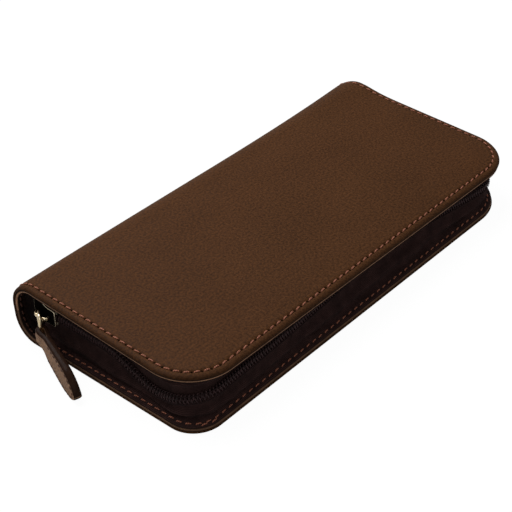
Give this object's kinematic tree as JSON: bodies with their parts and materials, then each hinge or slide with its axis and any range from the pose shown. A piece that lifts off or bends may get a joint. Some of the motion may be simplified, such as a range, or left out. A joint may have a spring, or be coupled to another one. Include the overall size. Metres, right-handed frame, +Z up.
{
  "type": "zippered pouch",
  "caption": "Flat board-backed leather case that opens like a book, with a zip round three sides, a sliding puller with a leather tab, and pen loops and a slip pocket inside.",
  "frame": {"origin": "centre of the back panel's outer face, on the surface the closed pouch rests on", "axes": "+X along the long zip side, away from the slider; +Y from the opening edge to the spine; +Z up through the closed pouch"},
  "size_m": [0.2032, 0.093, 0.0262],
  "materials": {
    "outer_leather": "smooth dark brown, fine grain, satin",
    "lining_leather": "plain, matt",
    "stiff_board": "uncoated",
    "thread": "orange-brown waxed thread",
    "zip_tape": "ribbed woven tape, near-black brown",
    "zip_coil": "moulded nylon coil, slight sheen",
    "zip_metal": "pale gold plating, polished",
    "elastic": "woven elastic"
  },
  "bodies": {
    "back_cover": {"back_leather": "outer_leather", "back_board": "stiff_board", "back_lining": "lining_leather", "back_stitching": "thread", "lower_zip_tape": "zip_tape", "lower_coil": "zip_coil", "lower_top_stop": "zip_metal", "bottom_stop": "zip_metal", "pen_loop_base": "lining_leather", "pen_loop_band": "elastic"},
    "spine": {"spine_leather": "outer_leather", "spine_lining": "lining_leather", "spine_stitching_near": "thread", "spine_stitching_far": "thread", "near_end_gusset": "zip_tape", "far_end_gusset": "zip_tape"},
    "front_cover": {"front_leather": "outer_leather", "front_board": "stiff_board", "front_lining": "lining_leather", "front_stitching": "thread", "upper_zip_tape": "zip_tape", "upper_coil": "zip_coil", "upper_top_stop": "zip_metal", "slip_pocket": "lining_leather", "slip_pocket_stitching": "thread"},
    "slider": {"slider_body": "zip_metal", "slider_bail": "zip_metal"},
    "pull_link": {"pull_link": "zip_metal"},
    "pull_tab": {"pull_tab": "outer_leather", "pull_tab_stitching": "thread"}
  },
  "joints": [
    {"name": "spine_fold", "type": "hinge", "parent": "back_cover", "child": "spine", "pos_m": [0, 0.04585, 0.00215], "axis": [-1, 0, 0], "range_deg": [0, 90]},
    {"name": "cover_fold", "type": "hinge", "parent": "spine", "child": "front_cover", "pos_m": [0, 0.04526, 0.02391], "axis": [-1, 0, 0], "range_deg": [0, 92.75]},
    {"name": "slider_travel", "type": "slide", "parent": "back_cover", "child": "slider", "axis": [0, -0.9982, -0.0599], "range_m": [0, 0.03]},
    {"name": "pull_link_swing", "type": "hinge", "parent": "slider", "child": "pull_link", "pos_m": [-0.09425, 0.0326, 0.013], "axis": [0, 0, 1], "range_deg": [-100, 5]},
    {"name": "pull_tab_swing", "type": "hinge", "parent": "pull_link", "child": "pull_tab", "pos_m": [-0.09721, 0.02908, 0.0109], "axis": [0, 0, 1], "range_deg": [-45, 6]}
  ],
  "couplings": [
    {"joint": "cover_fold", "follows": "spine_fold", "ratio": 1.0305}
  ]
}
